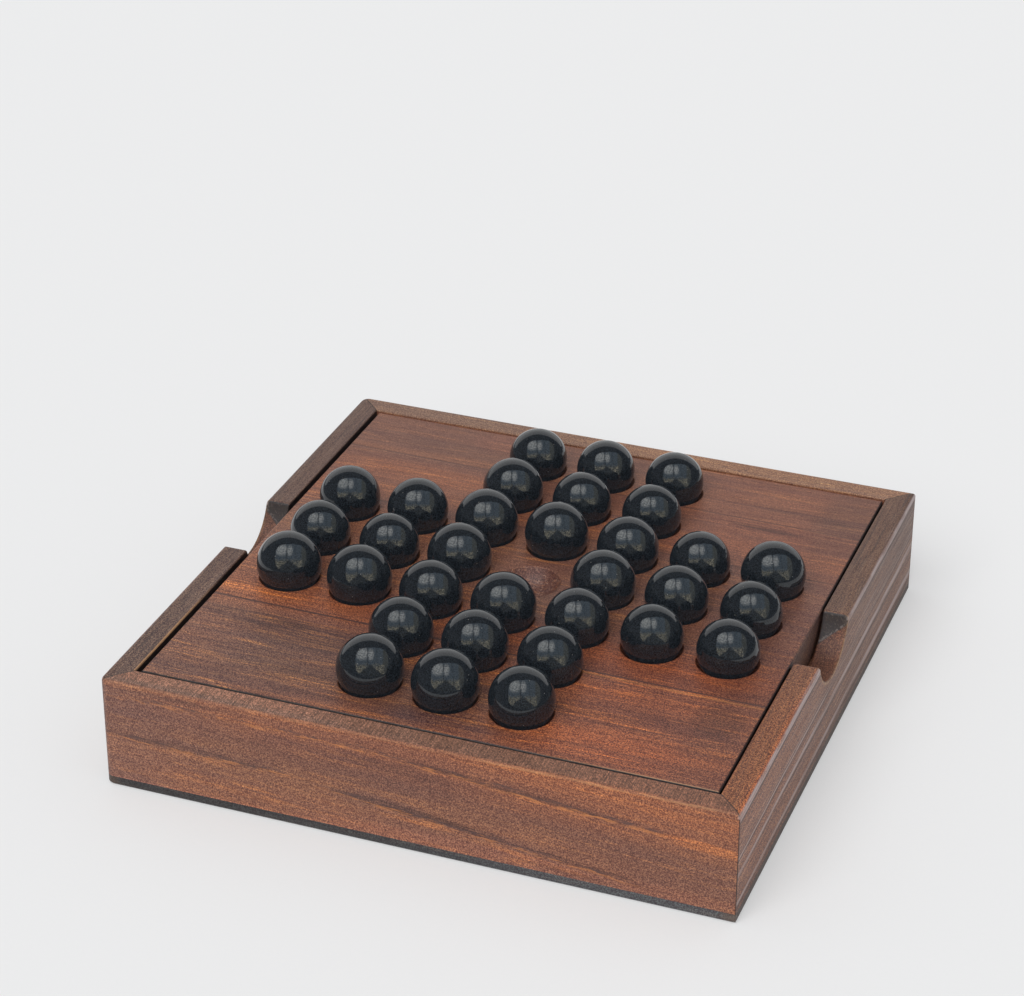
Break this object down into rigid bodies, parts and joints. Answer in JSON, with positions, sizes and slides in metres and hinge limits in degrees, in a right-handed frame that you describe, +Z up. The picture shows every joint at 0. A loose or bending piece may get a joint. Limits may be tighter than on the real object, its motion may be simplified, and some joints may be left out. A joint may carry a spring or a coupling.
{
  "type": "marble solitaire box",
  "caption": "Square wooden marble solitaire box: mitred rails with finger notches, a lift-out board of dimples in a cross, black glass marbles, and storage below.",
  "frame": {"origin": "centre of the case's underside, on the table", "axes": "+X to the right along the front of the case, +Y from the front to the back, +Z up"},
  "size_m": [0.1656, 0.1668, 0.043],
  "materials": {
    "rail_wood": "reddish-brown stained, satin waxed",
    "board_wood": "reddish-brown stained, satin waxed",
    "liner_wood": "bare, sanded",
    "base_wood": "stained nearly black, matt",
    "pin_steel": "dull steel wire",
    "black_glass": "polished opaque black glass"
  },
  "bodies": {
    "case": {"base_panel": "base_wood", "base_pins": "pin_steel", "front_rail": "rail_wood", "right_rail": "rail_wood", "back_rail": "rail_wood", "left_rail": "rail_wood", "front_liner": "liner_wood", "right_liner": "liner_wood", "back_liner": "liner_wood", "left_liner": "liner_wood"},
    "board": {"game_board": "board_wood"},
    "marble_row1_col3": {"marble_row1_col3": "black_glass"},
    "marble_row1_col4": {"marble_row1_col4": "black_glass"},
    "marble_row1_col5": {"marble_row1_col5": "black_glass"},
    "marble_row2_col3": {"marble_row2_col3": "black_glass"},
    "marble_row2_col4": {"marble_row2_col4": "black_glass"},
    "marble_row2_col5": {"marble_row2_col5": "black_glass"},
    "marble_row3_col1": {"marble_row3_col1": "black_glass"},
    "marble_row3_col2": {"marble_row3_col2": "black_glass"},
    "marble_row3_col3": {"marble_row3_col3": "black_glass"},
    "marble_row3_col4": {"marble_row3_col4": "black_glass"},
    "marble_row3_col5": {"marble_row3_col5": "black_glass"},
    "marble_row3_col6": {"marble_row3_col6": "black_glass"},
    "marble_row3_col7": {"marble_row3_col7": "black_glass"},
    "marble_row4_col1": {"marble_row4_col1": "black_glass"},
    "marble_row4_col2": {"marble_row4_col2": "black_glass"},
    "marble_row4_col3": {"marble_row4_col3": "black_glass"},
    "marble_row4_col5": {"marble_row4_col5": "black_glass"},
    "marble_row4_col6": {"marble_row4_col6": "black_glass"},
    "marble_row4_col7": {"marble_row4_col7": "black_glass"},
    "marble_row5_col1": {"marble_row5_col1": "black_glass"},
    "marble_row5_col2": {"marble_row5_col2": "black_glass"},
    "marble_row5_col3": {"marble_row5_col3": "black_glass"},
    "marble_row5_col4": {"marble_row5_col4": "black_glass"},
    "marble_row5_col5": {"marble_row5_col5": "black_glass"},
    "marble_row5_col6": {"marble_row5_col6": "black_glass"},
    "marble_row5_col7": {"marble_row5_col7": "black_glass"},
    "marble_row6_col3": {"marble_row6_col3": "black_glass"},
    "marble_row6_col4": {"marble_row6_col4": "black_glass"},
    "marble_row6_col5": {"marble_row6_col5": "black_glass"},
    "marble_row7_col3": {"marble_row7_col3": "black_glass"},
    "marble_row7_col4": {"marble_row7_col4": "black_glass"},
    "marble_row7_col5": {"marble_row7_col5": "black_glass"}
  },
  "joints": [
    {"name": "board_lift", "type": "slide", "parent": "case", "child": "board", "axis": [0, 0, 1], "range_m": [0, 0.06]},
    {"name": "marble_row1_col3_lift", "type": "slide", "parent": "board", "child": "marble_row1_col3", "axis": [0, 0, 1], "range_m": [0, 0.03]},
    {"name": "marble_row1_col4_lift", "type": "slide", "parent": "board", "child": "marble_row1_col4", "axis": [0, 0, 1], "range_m": [0, 0.03]},
    {"name": "marble_row1_col5_lift", "type": "slide", "parent": "board", "child": "marble_row1_col5", "axis": [0, 0, 1], "range_m": [0, 0.03]},
    {"name": "marble_row2_col3_lift", "type": "slide", "parent": "board", "child": "marble_row2_col3", "axis": [0, 0, 1], "range_m": [0, 0.03]},
    {"name": "marble_row2_col4_lift", "type": "slide", "parent": "board", "child": "marble_row2_col4", "axis": [0, 0, 1], "range_m": [0, 0.03]},
    {"name": "marble_row2_col5_lift", "type": "slide", "parent": "board", "child": "marble_row2_col5", "axis": [0, 0, 1], "range_m": [0, 0.03]},
    {"name": "marble_row3_col1_lift", "type": "slide", "parent": "board", "child": "marble_row3_col1", "axis": [0, 0, 1], "range_m": [0, 0.03]},
    {"name": "marble_row3_col2_lift", "type": "slide", "parent": "board", "child": "marble_row3_col2", "axis": [0, 0, 1], "range_m": [0, 0.03]},
    {"name": "marble_row3_col3_lift", "type": "slide", "parent": "board", "child": "marble_row3_col3", "axis": [0, 0, 1], "range_m": [0, 0.03]},
    {"name": "marble_row3_col4_lift", "type": "slide", "parent": "board", "child": "marble_row3_col4", "axis": [0, 0, 1], "range_m": [0, 0.03]},
    {"name": "marble_row3_col5_lift", "type": "slide", "parent": "board", "child": "marble_row3_col5", "axis": [0, 0, 1], "range_m": [0, 0.03]},
    {"name": "marble_row3_col6_lift", "type": "slide", "parent": "board", "child": "marble_row3_col6", "axis": [0, 0, 1], "range_m": [0, 0.03]},
    {"name": "marble_row3_col7_lift", "type": "slide", "parent": "board", "child": "marble_row3_col7", "axis": [0, 0, 1], "range_m": [0, 0.03]},
    {"name": "marble_row4_col1_lift", "type": "slide", "parent": "board", "child": "marble_row4_col1", "axis": [0, 0, 1], "range_m": [0, 0.03]},
    {"name": "marble_row4_col2_lift", "type": "slide", "parent": "board", "child": "marble_row4_col2", "axis": [0, 0, 1], "range_m": [0, 0.03]},
    {"name": "marble_row4_col3_lift", "type": "slide", "parent": "board", "child": "marble_row4_col3", "axis": [0, 0, 1], "range_m": [0, 0.03]},
    {"name": "marble_row4_col5_lift", "type": "slide", "parent": "board", "child": "marble_row4_col5", "axis": [0, 0, 1], "range_m": [0, 0.03]},
    {"name": "marble_row4_col6_lift", "type": "slide", "parent": "board", "child": "marble_row4_col6", "axis": [0, 0, 1], "range_m": [0, 0.03]},
    {"name": "marble_row4_col7_lift", "type": "slide", "parent": "board", "child": "marble_row4_col7", "axis": [0, 0, 1], "range_m": [0, 0.03]},
    {"name": "marble_row5_col1_lift", "type": "slide", "parent": "board", "child": "marble_row5_col1", "axis": [0, 0, 1], "range_m": [0, 0.03]},
    {"name": "marble_row5_col2_lift", "type": "slide", "parent": "board", "child": "marble_row5_col2", "axis": [0, 0, 1], "range_m": [0, 0.03]},
    {"name": "marble_row5_col3_lift", "type": "slide", "parent": "board", "child": "marble_row5_col3", "axis": [0, 0, 1], "range_m": [0, 0.03]},
    {"name": "marble_row5_col4_lift", "type": "slide", "parent": "board", "child": "marble_row5_col4", "axis": [0, 0, 1], "range_m": [0, 0.03]},
    {"name": "marble_row5_col5_lift", "type": "slide", "parent": "board", "child": "marble_row5_col5", "axis": [0, 0, 1], "range_m": [0, 0.03]},
    {"name": "marble_row5_col6_lift", "type": "slide", "parent": "board", "child": "marble_row5_col6", "axis": [0, 0, 1], "range_m": [0, 0.03]},
    {"name": "marble_row5_col7_lift", "type": "slide", "parent": "board", "child": "marble_row5_col7", "axis": [0, 0, 1], "range_m": [0, 0.03]},
    {"name": "marble_row6_col3_lift", "type": "slide", "parent": "board", "child": "marble_row6_col3", "axis": [0, 0, 1], "range_m": [0, 0.03]},
    {"name": "marble_row6_col4_lift", "type": "slide", "parent": "board", "child": "marble_row6_col4", "axis": [0, 0, 1], "range_m": [0, 0.03]},
    {"name": "marble_row6_col5_lift", "type": "slide", "parent": "board", "child": "marble_row6_col5", "axis": [0, 0, 1], "range_m": [0, 0.03]},
    {"name": "marble_row7_col3_lift", "type": "slide", "parent": "board", "child": "marble_row7_col3", "axis": [0, 0, 1], "range_m": [0, 0.03]},
    {"name": "marble_row7_col4_lift", "type": "slide", "parent": "board", "child": "marble_row7_col4", "axis": [0, 0, 1], "range_m": [0, 0.03]},
    {"name": "marble_row7_col5_lift", "type": "slide", "parent": "board", "child": "marble_row7_col5", "axis": [0, 0, 1], "range_m": [0, 0.03]}
  ]
}
